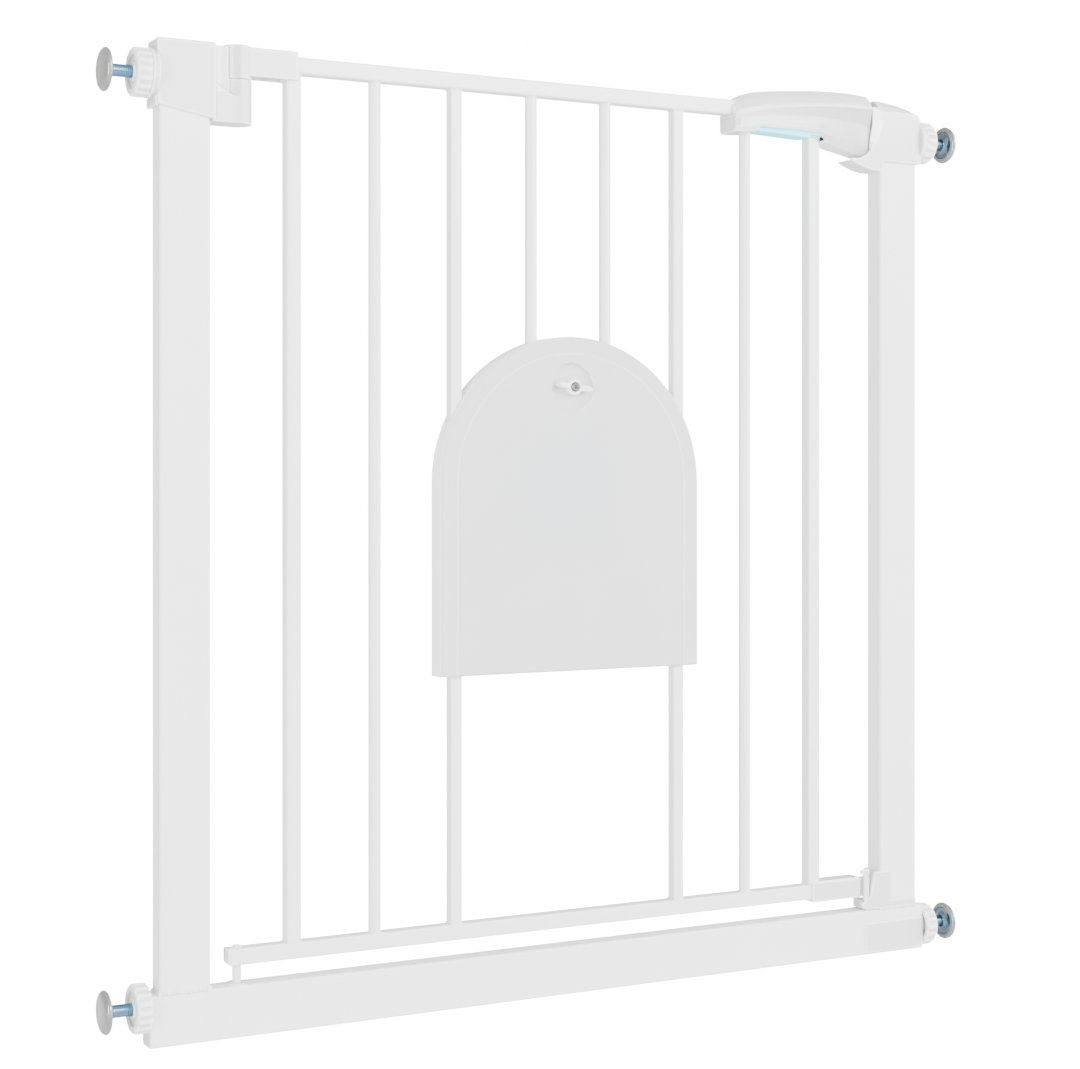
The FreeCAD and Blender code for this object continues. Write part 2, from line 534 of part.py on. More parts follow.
def make_latch_button():
    """Squeeze bar under the handle, pulled up to free the latch."""
    left = BUTTON_LEFT
    right = BUTTON_RIGHT
    wide = BUTTON_HALF
    profile = [(left, 729.8), (left + 3, 729.2), (205.0, 728.5), (225.0, 727.7), (right, 727.2),
               (right, BUTTON_TOP), (left, BUTTON_TOP)]
    button = prism_xz(profile, -wide, wide)
    button = fillet_near(button, 1.6, lambda c, e: abs(c.y) > wide - 0.1 and c.z < 730 and c.x < right)
    # two cheeks that pass the last bar, each with a ledge under an arm of the latch fork
    cheek = box(right - 1, 250.4, -wide, -8.5, 729.8, 735.2)
    ledge = box(right - 1, 250.4, -8.6, -6.6, 728.6, 730.8)
    button = fuse(button, cheek, ledge, mirror_y(cheek), mirror_y(ledge))
    button = button.cut(cyl(SPRING_X, 0, SPRING_SEAT - 0.5, (0, 0, 1), 5.2, 12))
    return button.cut(box(left + 4, left + 16, -9, 9, 731.5, 740))


def make_button_spring():
    """Return spring between the button's well and the underside of the top rail."""
    wire_r = 0.4
    low = SPRING_SEAT
    high = TOP_RAIL_Z - 0.6
    turns = 5
    helix = Part.makeHelix((high - low) / turns, high - low, 3.9)
    start = Part.Wire(Part.makeCircle(wire_r, V(3.9, 0, 0), V(0, 1, 0)))
    spring = Part.Wire(helix.Edges).makePipeShell([start], True, True)
    spring.translate(V(SPRING_X, 0, low))
    return spring


def make_latch_bolt():
    """Fork that the button lifts, with the tongue that drops into the keeper's groove."""
    arm = box(239.6, 254.0, -8.1, -6.4, 731.2, 735.4)
    bridge = box(251.8, 256.0, -8.1, 8.1, 731.2, 735.4)
    stem = box(254.0, 295.0, -3.4, 3.4, 731.2, 735.4)
    tongue = box(293.4, 298.8, -3.4, 3.4, 708.9, 735.4)
    return fuse(arm, mirror_y(arm), bridge, stem, tongue)


# ---------------------------------------------------------------- pet panel
def arch_prism(inset, y0, y1, low_inset):
    """Door shape with a round head, moved in from the panel's outline."""
    half = PANEL_HALF - inset
    centre = PANEL_TOP_Z - PANEL_HALF
    low = PANEL_LOW_Z + low_inset
    a = V(-half, y0, low)
    b = V(-half, y0, centre)
    c = V(half, y0, centre)
    d = V(half, y0, low)
    head = Part.Arc(b, V(0, y0, centre + half), c).toShape()
    wire = Part.Wire([Part.makeLine(a, b), head, Part.makeLine(c, d), Part.makeLine(d, a)])
    return Part.Face(wire).extrude(V(0, y1 - y0, 0))


def bar_notches(y0, y1):
    cuts = []
    for index in (3, 4, 5, 6):
        x = bar_x(index)
        cuts.append(box(x - 5.6, x + 5.6, y0, y1, PANEL_LOW_Z + 40, PANEL_TOP_Z + 10))
    for index in (3, 6):
        x = bar_x(index)
        cuts.append(box(x - 5.6, x + 5.6, y0, y1, PANEL_LOW_Z - 10, PANEL_LOW_Z + 40))
    return Part.makeCompound(cuts)


def make_panel_half(front):
    """Front half; the back half is its mirror image with a seat for the screw's head."""
    shell = arch_prism(0.0, -PANEL_DEPTH, 0.0, 0.0)
    shell = shell.makeFillet(2.2, [e for e in shell.Edges if e.CenterOfMass.y < -PANEL_DEPTH + 0.01])
    shell = shell.cut(arch_prism(PANEL_RIM, -PANEL_FACE_IN, 1.0, 2.8))
    for notch in bar_notches(-PANEL_FACE_IN, 1.0).Solids:
        shell = shell.cut(notch)
    # lightening pockets between the guide ribs
    for x0 in range(-90, 90, 30):
        for z0 in range(290, 470, 30):
            shell = shell.cut(box(x0 + 2, x0 + 28, -7.6, -PANEL_FACE_IN + 0.1, z0, z0 + 26))
    groove = arch_prism(13.6, -PANEL_DEPTH - 1, -PANEL_DEPTH + 0.7, -20.0)
    groove = groove.cut(arch_prism(15.2, -PANEL_DEPTH - 2, -PANEL_DEPTH + 2, -30.0))
    shell = shell.cut(groove)
    if front:
        boss = cyl(0, -PANEL_DEPTH + 1, SCREW_Z, (0, 1, 0), DISH_R + 2.5, PANEL_DEPTH - 1 - 3.2)
        shell = fuse(shell, boss)
        dish = cyl(0, -PANEL_DEPTH - 1, SCREW_Z, (0, 1, 0), DISH_R, 5.0)
        dish = dish.makeFillet(1.5, [e for e in dish.Edges if e.CenterOfMass.y > -PANEL_DEPTH + 3.9])
        shell = shell.cut(dish)
        return shell.cut(cyl(0, -15, SCREW_Z, (0, 1, 0), 4.3, 15))
    boss = cyl(0, -PANEL_DEPTH + 1, SCREW_Z, (0, 1, 0), 13.5, PANEL_DEPTH - 1 - 1.0)
    shell = fuse(shell, boss)
    shell = shell.cut(cyl(0, -PANEL_DEPTH - 1, SCREW_Z, (0, 1, 0), 10.0, 5.4))
    shell = shell.cut(cyl(0, -15, SCREW_Z, (0, 1, 0), 4.3, 15.5))
    return mirror_y(shell)


def make_clamp_screw():
    """Round-headed screw from the back, with a dimple in its free end."""
    shank = cyl(0, -14.6, SCREW_Z, (0, 1, 0), 3.9, 21.0)
    shank = shank.makeChamfer(0.6, [e for e in shank.Edges if e.CenterOfMass.y < -14.5])
    head = cyl(0, 5.7, SCREW_Z, (0, 1, 0), 9.2, 3.6)
    head = head.makeFillet(2.0, [e for e in head.Edges if e.CenterOfMass.y > 9.2])
    dimple = Part.makeCone(1.8, 0.4, 1.2, V(0, -14.7, SCREW_Z), V(0, 1, 0))
    return fuse(shank, head).cut(dimple)


def make_wing_nut():
    """Plastic wing nut in the dish, wings nearly level."""
    hub = cyl(0, -13.2, SCREW_Z, (0, 1, 0), 6.6, 6.85)
    hub = hub.makeFillet(1.0, [e for e in hub.Edges if e.CenterOfMass.y < -13.1])
    wing = prism_xz([(4.0, SCREW_Z - 2.6), (11.0, SCREW_Z - 2.2), (15.2, SCREW_Z - 1.2), (15.8, SCREW_Z),
                     (15.2, SCREW_Z + 1.2), (11.0, SCREW_Z + 2.2), (4.0, SCREW_Z + 2.6)], -15.6, -7.2)
    cutter = prism_wing_top()
    wing = wing.cut(cutter)
    other = wing.copy()
    other.rotate(V(0, 0, SCREW_Z), V(0, 1, 0), 180)
    nut = fuse(hub, wing, other)
    nut = nut.cut(cyl(0, -20, SCREW_Z, (0, 1, 0), 3.9 + RUN_CLEAR, 20))
    nut.rotate(V(0, 0, SCREW_Z), V(0, 1, 0), 8)
    return nut


def prism_wing_top():
    """Wedge that slopes each wing down towards the hub."""
    corners = [V(2.0, -16.0, SCREW_Z - 8), V(2.0, -12.2, SCREW_Z - 8), V(12.0, -16.0, SCREW_Z - 8)]
    wire = Part.makePolygon(corners + [corners[0]])
    return Part.Face(wire).extrude(V(0, 0, 16))


# ---------------------------------------------------------------- build everything
def main():
    os.makedirs("parts", exist_ok=True)
    save("bottom_rail", make_bottom_rail())
    save("left_post", make_left_post())
    save("right_post", make_right_post())
    save("left_rail_cap", make_left_rail_cap())
    save("rail_end_cover", make_rail_end_cover())
    save("lower_hinge_bush", make_lower_hinge_bush())
    save("hinge_housing", make_hinge_housing())
    save("latch_housing", make_latch_housing())
    save("housing_screws", make_housing_screws())
    save("bottom_catch", make_bottom_catch())

    places = {"top_left": (-1, SPINDLE_TOP_Z), "top_right": (1, SPINDLE_TOP_Z),
              "low_left": (-1, SPINDLE_LOW_LEFT_Z), "low_right": (1, SPINDLE_LOW_RIGHT_Z)}
    for place, (side, z) in places.items():
        save("wheel_" + place, make_wheel(side, z))
        save("rod_" + place, make_rod(side, z))
        save("pad_" + place, make_pad(side, z))

    save("upper_hinge_pin", make_upper_hinge_pin())
    save("hinge_arm", make_hinge_arm())
    save("lower_hinge_pin", make_lower_hinge_pin())
    save("top_rail", make_top_rail())
    save("low_rail", make_low_rail())
    for index in range(1, BAR_COUNT + 1):
        save("bar_%d" % index, make_bar(index))
    save("cross_bar", make_cross_bar())
    save("low_rail_plug", make_low_rail_plug())
    save("low_rail_cap", make_low_rail_cap())

    save("handle_body", make_handle_body())
    save("handle_cover", make_handle_cover())
    save("latch_button", make_latch_button())
    save("button_spring", make_button_spring())
    save("latch_bolt", make_latch_bolt())

    save("panel_front", make_panel_half(True))
    save("panel_back", make_panel_half(False))
    save("clamp_screw", make_clamp_screw())
    save("wing_nut", make_wing_nut())


main()
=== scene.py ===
import bpy
import bmesh
import json
import math
import random

import numpy as np
from mathutils import Matrix, Vector

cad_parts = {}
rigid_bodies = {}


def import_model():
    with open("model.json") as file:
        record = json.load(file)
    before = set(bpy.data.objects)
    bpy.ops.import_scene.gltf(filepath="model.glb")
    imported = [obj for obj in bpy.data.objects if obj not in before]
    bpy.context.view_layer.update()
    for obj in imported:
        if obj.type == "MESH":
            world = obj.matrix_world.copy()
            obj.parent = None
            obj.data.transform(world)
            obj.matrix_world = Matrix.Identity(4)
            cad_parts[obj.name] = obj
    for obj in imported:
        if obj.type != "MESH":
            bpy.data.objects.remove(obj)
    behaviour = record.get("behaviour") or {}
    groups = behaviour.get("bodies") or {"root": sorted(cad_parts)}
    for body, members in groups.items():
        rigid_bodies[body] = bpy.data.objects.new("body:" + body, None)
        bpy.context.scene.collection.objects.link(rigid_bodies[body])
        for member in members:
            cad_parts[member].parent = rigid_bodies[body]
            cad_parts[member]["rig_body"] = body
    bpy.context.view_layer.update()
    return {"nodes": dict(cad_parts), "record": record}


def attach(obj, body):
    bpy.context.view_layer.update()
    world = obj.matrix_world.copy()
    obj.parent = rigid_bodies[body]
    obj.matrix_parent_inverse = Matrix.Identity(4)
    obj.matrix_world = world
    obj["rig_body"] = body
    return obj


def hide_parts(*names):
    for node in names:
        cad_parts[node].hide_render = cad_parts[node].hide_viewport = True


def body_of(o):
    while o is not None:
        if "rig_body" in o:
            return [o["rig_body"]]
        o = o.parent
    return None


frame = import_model()
nodes = frame["nodes"]
MM = 0.001

# Bend of the surface where the painted edge highlight and the painted corner shade start, where
# they are full, and how far they spread
EDGE_FROM = 0.010
EDGE_FULL = 0.045
EDGE_SPREAD = 4

# How much darker the painted shade makes the plastic in inner corners, and how far relaxing moves a
# vertex each round
CORNER_SHADE_TONE = 0.72
RELAX = 0.5


# ---------------------------------------------------------------- materials
def new_material(name, base, rough, metallic=0.0, ior=1.5, coat=0.0, coat_rough=0.1, sss=0.0):
    mat = bpy.data.materials.new(name)
    mat.use_nodes = True
    bsdf = mat.node_tree.nodes["Principled BSDF"]
    bsdf.inputs["Base Color"].default_value = (*base, 1.0)
    bsdf.inputs["Roughness"].default_value = rough
    bsdf.inputs["Metallic"].default_value = metallic
    bsdf.inputs["IOR"].default_value = ior
    bsdf.inputs["Coat Weight"].default_value = coat
    bsdf.inputs["Coat Roughness"].default_value = coat_rough
    bsdf.inputs["Subsurface Weight"].default_value = sss
    return mat, mat.node_tree, bsdf


def coords(tree, scale=(1.0, 1.0, 1.0)):
    tex = tree.nodes.new("ShaderNodeTexCoord")
    mapping = tree.nodes.new("ShaderNodeMapping")
    mapping.inputs["Scale"].default_value = scale
    tree.links.new(tex.outputs["Object"], mapping.inputs["Vector"])
    return mapping.outputs["Vector"]


def noise(tree, vector, scale, detail=2.0, rough=0.5):
    node = tree.nodes.new("ShaderNodeTexNoise")
    node.inputs["Scale"].default_value = scale
    node.inputs["Detail"].default_value = detail
    node.inputs["Roughness"].default_value = rough
    tree.links.new(vector, node.inputs["Vector"])
    return node.outputs["Fac"]


def ramp(tree, fac, stops):
    node = tree.nodes.new("ShaderNodeValToRGB")
    els = node.color_ramp.elements
    els[0].position, els[0].color = stops[0][0], (*stops[0][1], 1.0)
    els[1].position, els[1].color = stops[-1][0], (*stops[-1][1], 1.0)
    for pos, col in stops[1:-1]:
        el = els.new(pos)
        el.color = (*col, 1.0)
    tree.links.new(fac, node.inputs["Fac"])
    return node.outputs["Color"]


def map_range(tree, fac, lo, hi, fmin=0.0, fmax=1.0):
    node = tree.nodes.new("ShaderNodeMapRange")
    node.inputs["From Min"].default_value = fmin
    node.inputs["From Max"].default_value = fmax
    node.inputs["To Min"].default_value = lo
    node.inputs["To Max"].default_value = hi
    tree.links.new(fac, node.inputs["Value"])
    return node.outputs["Result"]


def math_node(tree, operation, a, b):
    node = tree.nodes.new("ShaderNodeMath")
    node.operation = operation
    for socket, value in ((node.inputs[0], a), (node.inputs[1], b)):
        if isinstance(value, float):
            socket.default_value = value
        else:
            tree.links.new(value, socket)
    return node.outputs[0]


def bump(tree, bsdf, height, strength, distance, chain=None):
    node = tree.nodes.new("ShaderNodeBump")
    node.inputs["Strength"].default_value = strength
    node.inputs["Distance"].default_value = distance
    tree.links.new(height, node.inputs["Height"])
    if chain:
        tree.links.new(chain, node.inputs["Normal"])
    tree.links.new(node.outputs["Normal"], bsdf.inputs["Normal"])
    return node.outputs["Normal"]


def powder_coat(name, base, rough, coat=0.35):
    """White powder coat: faint orange peel, slight tone changes."""
    mat, tree, bsdf = new_material(name, base, rough, coat=coat, coat_rough=0.16)
    vec = coords(tree)
    tone = noise(tree, vec, 9.0, 3.0)
    dark = tuple(c * 0.955 for c in base)
    tree.links.new(ramp(tree, tone, [(0.28, dark), (0.72, base)]), bsdf.inputs["Base Color"])
    fine = noise(tree, vec, 260.0, 2.0)
    spread = map_range(tree, fine, rough - 0.05, rough + 0.07, 0.3, 0.7)
    tree.links.new(spread, bsdf.inputs["Roughness"])
    wave = bump(tree, bsdf, noise(tree, vec, 330.0, 1.0), 0.07, 0.0008)
    bump(tree, bsdf, noise(tree, vec, 1100.0, 2.0, 0.45), 0.10, 0.0003, wave)
    return mat


def attribute(tree, name):
    node = tree.nodes.new("ShaderNodeAttribute")
    node.attribute_name = name
    return node.outputs["Fac"]


def blend(tree, fac, under, over):
    """Mix two colours; the upper one is a constant."""
    node = tree.nodes.new("ShaderNodeMix")
    node.data_type = "RGBA"
    tree.links.new(fac, node.inputs[0])
    tree.links.new(under, node.inputs[6])
    node.inputs[7].default_value = (*over, 1.0)
    return node.outputs[2]


def grained_plastic(name, base, rough, grain=0.16, sss=0.04, coat=0.0, shade=0.95, edge=None,
                    gloss=0.14, glow=0.0):
    """Injection-moulded plastic: fine spark-eroded grain, slight flow tone; with an edge colour,
    painted highlight on thin rounded edges and painted shade in inner corners.
    """
    mat, tree, bsdf = new_material(
        name, base, rough, ior=1.47, coat=coat, coat_rough=gloss, sss=sss)
    bsdf.inputs["Subsurface Scale"].default_value = 0.002
    # A glow here is painted light: the part glows a little though it is no lamp
    bsdf.inputs["Emission Color"].default_value = (*base, 1.0)
    bsdf.inputs["Emission Strength"].default_value = glow
    vec = coords(tree)
    tone = noise(tree, vec, 14.0, 3.0)
    dark = tuple(c * shade for c in base)
    colour = ramp(tree, tone, [(0.28, dark), (0.72, base)])
    # Painted highlight on rounded outer edges, and painted shade in inner corners
    if edge:
        colour = blend(tree, attribute(tree, "edge"), colour, edge)
        inner = tuple(c * CORNER_SHADE_TONE for c in base)
        colour = blend(tree, attribute(tree, "painted_shade"), colour, inner)
    tree.links.new(colour, bsdf.inputs["Base Color"])
    fine = noise(tree, vec, 420.0, 2.0)
    spread = map_range(tree, fine, rough - 0.05, rough + 0.07, 0.3, 0.7)
    tree.links.new(spread, bsdf.inputs["Roughness"])
    bump(tree, bsdf, noise(tree, vec, 2600.0, 2.0, 0.6), grain, 0.0003)
    return mat


def plated_steel(name, base, rough, stretch, shade=0.72):
    """Bright zinc plating: drawn streaks along the bar, cloudy tone and small dull spots."""
    mat, tree, bsdf = new_material(name, base, rough, metallic=1.0)
    streak = noise(tree, coords(tree, stretch), 900.0, 3.0, 0.6)
    cloud = noise(tree, coords(tree), 120.0, 3.0)
    dark = tuple(c * shade for c in base)
    both = math_node(tree, "MULTIPLY", streak, cloud)
    tree.links.new(ramp(tree, both, [(0.12, dark), (0.40, base)]), bsdf.inputs["Base Color"])
    spread = map_range(tree, cloud, rough - 0.06, rough + 0.12, 0.3, 0.7)
    tree.links.new(spread, bsdf.inputs["Roughness"])
    bump(tree, bsdf, streak, 0.05, 0.0002)
    return mat


# Painted shade: centre and tone of a faint cool darker patch on the panel's face
SHADE_PATCH_CENTRE = (-0.005, -0.010, 0.425)
SHADE_PATCH_TONE = (0.925, 0.94, 0.985)


def panel_look(name, base, side):
    """Panel plastic: painted light makes the thin outer edge paler, and painted shade gives a faint
    cool patch in the middle of the face.
    """
    mat = grained_plastic(name, base, 0.48, 0.20)
    tree = mat.node_tree
    bsdf = tree.nodes["Principled BSDF"]
    colour = bsdf.inputs["Base Color"].links[0].from_socket
    tex = tree.nodes.new("ShaderNodeTexCoord")
    away = tree.nodes.new("ShaderNodeVectorMath")
    away.operation = "DISTANCE"
    away.inputs[1].default_value = SHADE_PATCH_CENTRE
    tree.links.new(tex.outputs["Object"], away.inputs[0])
    # Painted shade round the middle of the face
    shade_patch = map_range(tree, away.outputs["Value"], 0.9, 0.0, 0.03, 0.085)
    colour = blend(tree, shade_patch, colour, tuple(c * k for c, k in zip(base, SHADE_PATCH_TONE)))
    facing = tree.nodes.new("ShaderNodeVectorMath")
    facing.operation = "DOT_PRODUCT"
    facing.inputs[1].default_value = (0.0, 1.0, 0.0)
    tree.links.new(tex.outputs["Normal"], facing.inputs[0])
    flat = math_node(tree, "ABSOLUTE", facing.outputs["Value"], 0.0)
    # Painted light: faces that turn away from the front and back get the paler side colour
    painted_side_light = map_range(tree, flat, 1.0, 0.0, 0.25, 0.85)
    colour = blend(tree, painted_side_light, colour, side)
    tree.links.new(colour, bsdf.inputs["Base Color"])
    return mat


# Painted highlight colour for the rounded edges of the white plastic
EDGE_HIGHLIGHT = (0.90, 0.90, 0.90)
LOOKS = {
    "frame_steel": powder_coat("frame_steel_look", (0.86, 0.86, 0.86), 0.32),
    "door_steel": powder_coat("door_steel_look", (0.84, 0.84, 0.84), 0.32),
    "pin_steel": powder_coat("pin_steel_look", (0.76, 0.76, 0.77), 0.32),
    "white_plastic": grained_plastic(
        "white_plastic_look", (0.665, 0.665, 0.67), 0.40, coat=0.9, edge=EDGE_HIGHLIGHT),
    # The panel's second colour is painted light on its side faces
    "panel_plastic": panel_look(
        "panel_plastic_look", (0.585, 0.587, 0.592), (0.97, 0.97, 0.97)),
    # The wheels' edge colour is a painted highlight on their rounded edges
    "wheel_nylon": grained_plastic(
        "wheel_nylon_look", (0.84, 0.84, 0.83), 0.40, 0.10, 0.45, edge=(0.95, 0.95, 0.95)),
    "grey_rubber": grained_plastic(
        "grey_rubber_look", (0.135, 0.137, 0.128), 0.34, 0.12, 0.0, 1.0, 0.66, gloss=0.09),
    # The button's edge colour is a painted highlight, and its glow is painted light
    "button_plastic": grained_plastic(
        "button_plastic_look", (0.05, 0.80, 0.90), 0.34, 0.08, 0.10, edge=(0.45, 0.90, 0.93),
        glow=0.55),
    "nut_plastic": grained_plastic("nut_plastic_look", (0.92, 0.92, 0.92), 0.38, 0.10, 0.10),
    "zinc_rod": plated_steel(
        "zinc_rod_look", (0.125, 0.265, 0.41), 0.11, (0.04, 1.0, 1.0), 0.6),
    "screw_steel": plated_steel("screw_steel_look", (0.16, 0.16, 0.17), 0.28, (1.0, 0.1, 1.0)),
}
# Painted shade: the foot disc in a darker, duller tone than the rod's zinc, for the shade inside
# the pad's cup
FOOT_SHADE_LOOK = plated_steel("foot_shade_look", (0.17, 0.24, 0.29), 0.20, (1.0, 1.0, 1.0), 0.6)
# Painted highlight: the panel's raised line in a paler tone than the panel
LINE_HIGHLIGHT_LOOK = grained_plastic("panel_line_highlight_look", (0.69, 0.69, 0.69), 0.40, 0.10)
# Painted highlight: the handle's ridge bead in a paler tone than the white plastic
RIDGE_HIGHLIGHT_LOOK = grained_plastic("ridge_highlight_look", (0.90, 0.90, 0.90), 0.36, 0.06)
RUBBER_SHINE = LOOKS["grey_rubber"].node_tree.nodes["Principled BSDF"].inputs["Coat IOR"]
RUBBER_SHINE.default_value = 1.95
SLOT = {}
for entry in frame["record"]["subparts"]:
    SLOT[entry["node"]] = entry["material_slot"]
    obj = nodes[entry["node"]]
    obj.data.materials.clear()
    obj.data.materials.append(LOOKS[entry["material_slot"]])


# ---------------------------------------------------------------- helpers for pieces
def body_of_node(node):
    return body_of(nodes[node])[0]


def add_piece(name, mesh, stands_for, body, slot):
    """Put a finished mesh in the scene on its body, in the place of the CAD nodes it stands for."""
    obj = bpy.data.objects.new(name, mesh)
    bpy.context.scene.collection.objects.link(obj)
    obj.data.materials.clear()
    obj.data.materials.append(LOOKS[slot])
    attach(obj, body)
    if stands_for:
        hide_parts(*stands_for)
    return obj


def smooth_by_angle(mesh, degrees):
    """Smooth faces, with sharp edges where the surface really turns."""
    bm = bmesh.new()
    bm.from_mesh(mesh)
    limit = math.radians(degrees)
    for face in bm.faces:
        face.smooth = True
    for edge in bm.edges:
        edge.smooth = len(edge.link_faces) == 2 and edge.calc_face_angle(0.0) < limit
    bm.to_mesh(mesh)
    bm.free()


def mark_edges(mesh):
    """Vertex values for the material: 'edge' on rounded outer corners for a painted highlight, and
    a painted shade value in inner ones.
    """
    count = len(mesh.vertices)
    place = np.empty(count * 3)
    mesh.vertices.foreach_get("co", place)
    place = place.reshape(-1, 3)
    normal = np.empty(count * 3)
    mesh.vertices.foreach_get("normal", normal)
    normal = normal.reshape(-1, 3)
    ends = np.empty(len(mesh.edges) * 2, dtype=np.int64)
    mesh.edges.foreach_get("vertices", ends)
    ends = ends.reshape(-1, 2)
    one, two = ends[:, 0], ends[:, 1]
    step = place[one] - place[two]
    length = np.linalg.norm(step, axis=1) + 1e-12
    bend = np.zeros(count)
    links = np.zeros(count)
    np.add.at(bend, one, np.einsum("ij,ij->i", step, normal[one]) / length)
    np.add.at(bend, two, -np.einsum("ij,ij->i", step, normal[two]) / length)
    np.add.at(links, one, 1.0)
    np.add.at(links, two, 1.0)
    bend /= np.maximum(links, 1.0)
    for _ in range(EDGE_SPREAD):
        total = np.zeros(count)
        np.add.at(total, one, bend[two])
        np.add.at(total, two, bend[one])
        bend = 0.5 * bend + 0.5 * total / np.maximum(links, 1.0)
    for name, turned in (("edge", bend), ("painted_shade", -bend)):
        value = np.clip((turned - EDGE_FROM) / (EDGE_FULL - EDGE_FROM), 0.0, 1.0)
        layer = mesh.attributes.new(name, "FLOAT", "POINT")
        layer.data.foreach_set("value", value.astype(np.float32))


def paint_light(mesh, chosen):
    """Painted light: full 'edge' value, the pale edge colour, for the vertices that the test picks
    out.
    """
    layer = mesh.attributes["edge"]
    for vertex in mesh.vertices:
        if chosen(vertex.co / MM, vertex.normal):
            layer.data[vertex.index].value = 1.0


def shade(mesh, amount):
    """Painted shade: adds to the inner-corner shade value of each vertex, so that hollows sit a
    little darker.
    """
    layer = mesh.attributes["painted_shade"]
    for vertex in mesh.vertices:
        extra = amount(vertex.co / MM, vertex.normal)
        if extra > 0.0:
            layer.data[vertex.index].value = min(1.0, layer.data[vertex.index].value + extra)


# Places on the gate, in mm
GRIP_FROM = 175.0
GRIP_LENGTH = 115.0
HINGE_X = -290.0
KNUCKLE_R = 11.5
KNUCKLE_LOW = 699.5


def grip_shade(c, n):
    """Painted shade on the front of the handle under the ridge, darker towards the latch."""
    if n.y > -0.3 or n.z < -0.6:
        return 0.0
    return 0.15 + 0.85 * max(0.0, min(1.0, (c.x - GRIP_FROM) / GRIP_LENGTH))


def knuckle_shade(c, n):
    """Painted shade on the front of both hinge knuckles, darkest a little left of their middle."""
    if n.y > -0.5 or c.z < KNUCKLE_LOW or abs(c.x - HINGE_X) > KNUCKLE_R:
        return 0.0
    return 0.75 * math.exp(-((c.x - HINGE_X + 1.5) / 4.2) ** 2)


def cradle_end(c, n):
    """Painted highlight on the face of the hinge housing beside the lower knuckle."""
    return -312.5 < c.x < -304.5 and c.z > 722.0 and c.y > -12.0 and n.x > -0.5


def handle_underside(c, n):
    """Painted light on the underside of the handle beside the last bar."""
    return c.x > 252.5 and n.z < -0.6


def keeper_crescent(c, n):
    """Painted highlight on the curved front of the latch housing beside the handle."""
    return 300.0 < c.x < 317.5 and c.y < -10.0 and -0.30 < n.x < -0.09 and n.y < -0.9


def soften(node, voxel_mm, rounds):
    """Moulded version of a CAD node: its own shape as a finer even mesh with every edge rounded."""
    obj = bpy.data.objects.new("soften_tmp", nodes[node].data.copy())
    bpy.context.scene.collection.objects.link(obj)
    remesh = obj.modifiers.new("remesh", "REMESH")
    remesh.mode = "VOXEL"
    remesh.voxel_size = voxel_mm * MM
    remesh.use_smooth_shade = True
    relax = obj.modifiers.new("relax", "SMOOTH")
    relax.factor = RELAX
    relax.iterations = rounds
    graph = bpy.context.evaluated_depsgraph_get()
    mesh = bpy.data.meshes.new_from_object(obj.evaluated_get(graph))
    bpy.data.objects.remove(obj)
    mesh.name = node + "_moulded"
    mark_edges(mesh)
    return add_piece(node + "_moulded", mesh, [node], body_of_node(node), SLOT[node])


# ---------------------------------------------------------------- moulded plastic pieces
# Node: voxel size in mm and rounds of relaxing
MOULDED = {
    "hinge_housing": (0.60, 5),
    "latch_housing": (0.60, 5),
    "hinge_arm": (0.60, 5),
    "bottom_catch": (0.50, 4),
    "low_rail_cap": (0.60, 4),
    "rail_end_cover": (0.50, 3),
    "left_rail_cap": (0.60, 3),
    "low_rail_plug": (0.40, 3),
    "handle_body": (0.70, 6),
    "handle_cover": (0.70, 6),
    "latch_button": (0.50, 4),
    "wing_nut": (0.35, 3),
    "wheel_top_left": (0.50, 4),
    "wheel_top_right": (0.50, 4),
    "wheel_low_left": (0.50, 4),
    "wheel_low_right": (0.50, 4),
}
# Places given painted light, and places given painted shade
PAINTED_LIGHT_PLACES = {
    "hinge_housing": cradle_end,
    "handle_body": handle_underside,
    "latch_housing": keeper_crescent,
}
PAINTED_SHADE_PLACES = {
    "hinge_housing": knuckle_shade,
    "hinge_arm": knuckle_shade,
    "handle_body": grip_shade,
}
for node_name, (voxel, rounds) in MOULDED.items():
    moulded = soften(node_name, voxel, rounds)
    if node_name in PAINTED_LIGHT_PLACES:
        paint_light(moulded.data, PAINTED_LIGHT_PLACES[node_name])
    if node_name in PAINTED_SHADE_PLACES:
        shade(moulded.data, PAINTED_SHADE_PLACES[node_name])


# ---------------------------------------------------------------- spindles and pads
def lathe(profile, steps):
    """Turn (a, r) points, in mm, about the local a axis. Returns a bmesh with a along +Z."""
    bm = bmesh.new()
    rings = []
    for a, r in profile:
        if r < 1e-6:
            rings.append([bm.verts.new((0.0, 0.0, a * MM))])
            continue
        ring = []
        for k in range(steps):
            angle = 2.0 * math.pi * k / steps
            ring.append(bm.verts.new((r * MM * math.cos(angle), r * MM * math.sin(angle), a * MM)))
        rings.append(ring)
    for low, high in zip(rings, rings[1:]):
        for k in range(steps):
            n = (k + 1) % steps
            if len(low) == 1:
                bm.faces.new((low[0], high[k], high[n]))
            elif len(high) == 1:
                bm.faces.new((low[k], high[0], low[n]))
            else:
                bm.faces.new((low[k], high[k], high[n], low[n]))
    return bm


def finish_bmesh(bm, name, angle, matrix=None):
    """Mesh from a bmesh: outward normals, smooth where it turns by less than the angle."""
    bmesh.ops.recalc_face_normals(bm, faces=bm.faces)
    if matrix is not None:
        bmesh.ops.transform(bm, matrix=matrix, verts=bm.verts)
        if matrix.determinant() < 0:
            bmesh.ops.reverse_faces(bm, faces=bm.faces)
    mesh = bpy.data.meshes.new(name)
    bm.to_mesh(mesh)
    bm.free()
    smooth_by_angle(mesh, angle)
    return mesh


